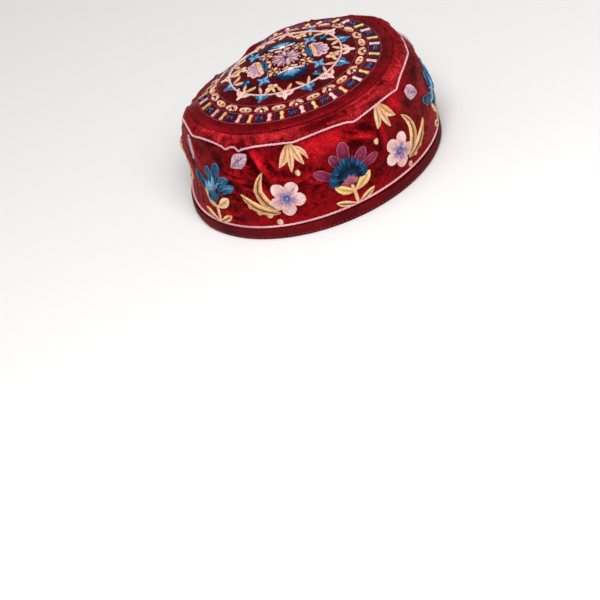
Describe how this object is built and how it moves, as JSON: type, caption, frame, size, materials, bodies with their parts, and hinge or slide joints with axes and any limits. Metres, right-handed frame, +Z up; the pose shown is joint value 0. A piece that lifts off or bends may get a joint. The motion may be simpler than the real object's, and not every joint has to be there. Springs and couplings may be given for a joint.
{
  "type": "embroidered velvet skullcap",
  "caption": "Soft low pillbox cap with a domed crown, a puffed shoulder, a flared wall, a bound rim and couched cords, hollow for a head.",
  "frame": {"origin": "middle of the head opening, on the surface that the rim stands on", "axes": "+Z up through the crown, +Y to the front of the cap along its longer way, +X to the wearer's right"},
  "size_m": [0.185, 0.1964, 0.0927],
  "materials": {
    "crown_velvet": "dark crimson velvet, matt with a soft sheen",
    "shoulder_velvet": "bright crimson velvet in puffs and tucks, with a strong red sheen",
    "wall_velvet": "crimson velvet, crushed, with bright sheen on its folds",
    "binding_velvet": "dark red woven binding, matt",
    "couched_cord": "pale pink twisted cord, soft satin",
    "satin_thread": "embroidery thread in satin stitch, glossy along the thread"
  },
  "bodies": {
    "root": {"crown_panel": "crown_velvet", "shoulder_band": "shoulder_velvet", "side_wall": "wall_velvet", "rim_binding": "binding_velvet", "upper_cord": "couched_cord", "lower_cord": "couched_cord", "crown_cord": "couched_cord"}
  },
  "joints": []
}
